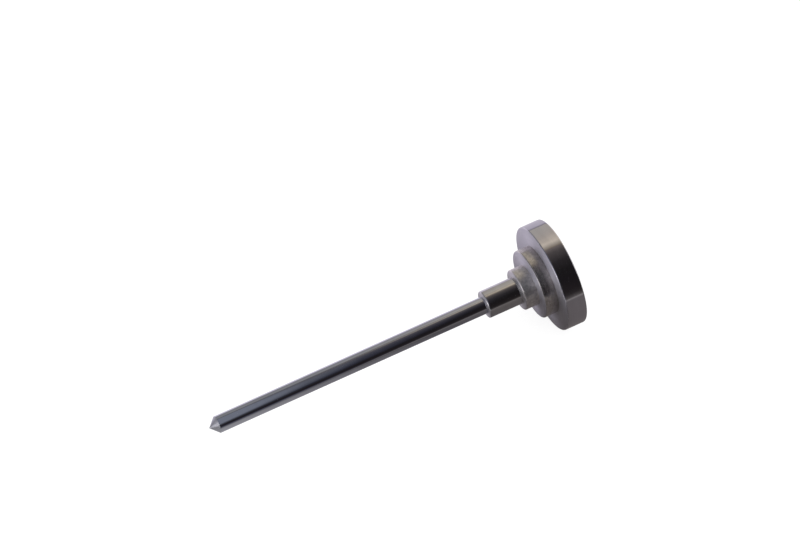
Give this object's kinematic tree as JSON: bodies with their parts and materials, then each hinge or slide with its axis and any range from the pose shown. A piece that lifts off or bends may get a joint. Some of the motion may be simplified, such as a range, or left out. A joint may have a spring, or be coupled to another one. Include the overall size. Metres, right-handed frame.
{
  "type": "thermocouple",
  "caption": "Straight thermocouple probe: pointed metal stem in a stepped turned head that holds the terminals behind a screwed rear cover.",
  "frame": {"origin": "where the probe's axis meets the seat, the flat front face of the head's disk", "axes": "X is the probe's axis, +X towards the rear cover and -X towards the pointed tip; +Z is towards the positive terminal"},
  "size_m": [0.1775, 0.05, 0.05],
  "materials": {
    "stem_steel": "polished",
    "bushing_steel": "polished turned",
    "housing_steel": "fine turned",
    "cover_steel": "fine turned",
    "screw_steel": "bright",
    "washer_steel": "satin",
    "terminal_brass": "satin",
    "steatite": "glazed ceramic",
    "insulator_ceramic": "fired ceramic",
    "magnesia": "packed powder",
    "weld_bead": "oxidised weld",
    "wire_positive": "drawn wire",
    "wire_negative": "drawn wire",
    "sealing_compound": "cured resin",
    "glass_sleeving": "braided glass fibre",
    "seal_rubber": "moulded",
    "grommet_rubber": "moulded"
  },
  "bodies": {
    "head": {"stem_tube": "stem_steel", "tip_plug": "stem_steel", "tip_filling": "magnesia", "measuring_junction": "weld_bead", "seal_plug": "sealing_compound", "stem_bushing": "bushing_steel", "bushing_o_ring": "seal_rubber", "head_housing": "housing_steel", "terminal_block": "steatite", "block_screws": "screw_steel", "insulator_1": "insulator_ceramic", "insulator_2": "insulator_ceramic", "insulator_3": "insulator_ceramic", "insulator_4": "insulator_ceramic", "insulator_5": "insulator_ceramic", "insulator_6": "insulator_ceramic", "thermoelement_positive": "wire_positive", "wire_sleeve_positive": "glass_sleeving", "terminal_post_positive": "terminal_brass", "thermoelement_negative": "wire_negative", "wire_sleeve_negative": "glass_sleeving", "terminal_post_negative": "terminal_brass"},
    "cover_seal": {"cover_seal": "seal_rubber"},
    "rear_cover": {"rear_cover": "cover_steel", "cable_grommet": "grommet_rubber"},
    "clamp_washer_positive": {"clamp_washer_positive": "washer_steel"},
    "terminal_screw_positive": {"terminal_screw_positive": "screw_steel"},
    "clamp_washer_negative": {"clamp_washer_negative": "washer_steel"},
    "terminal_screw_negative": {"terminal_screw_negative": "screw_steel"}
  },
  "joints": [
    {"name": "cover_lift", "type": "slide", "parent": "head", "child": "cover_seal", "axis": [1, 0, 0], "range_m": [0, 0.003]},
    {"name": "cover_turn", "type": "hinge", "parent": "cover_seal", "child": "rear_cover", "pos_m": [0.0088, 0, 0], "axis": [1, 0, 0], "range_deg": [0, 1080]},
    {"name": "clamp_lift_positive", "type": "slide", "parent": "head", "child": "clamp_washer_positive", "axis": [1, 0, 0], "range_m": [0, 0.002]},
    {"name": "screw_turn_positive", "type": "hinge", "parent": "clamp_washer_positive", "child": "terminal_screw_positive", "pos_m": [0.0038, 0, 0.009], "axis": [1, 0, 0], "range_deg": [0, 1440.1]},
    {"name": "clamp_lift_negative", "type": "slide", "parent": "head", "child": "clamp_washer_negative", "axis": [1, 0, 0], "range_m": [0, 0.002]},
    {"name": "screw_turn_negative", "type": "hinge", "parent": "clamp_washer_negative", "child": "terminal_screw_negative", "pos_m": [0.0038, 0, -0.009], "axis": [1, 0, 0], "range_deg": [0, 1440.1]}
  ],
  "couplings": [
    {"joint": "cover_lift", "follows": "cover_turn", "m_per_rad": 0.00015915},
    {"joint": "screw_turn_positive", "follows": "clamp_lift_positive", "rad_per_m": 12566},
    {"joint": "screw_turn_negative", "follows": "clamp_lift_negative", "rad_per_m": 12566}
  ]
}
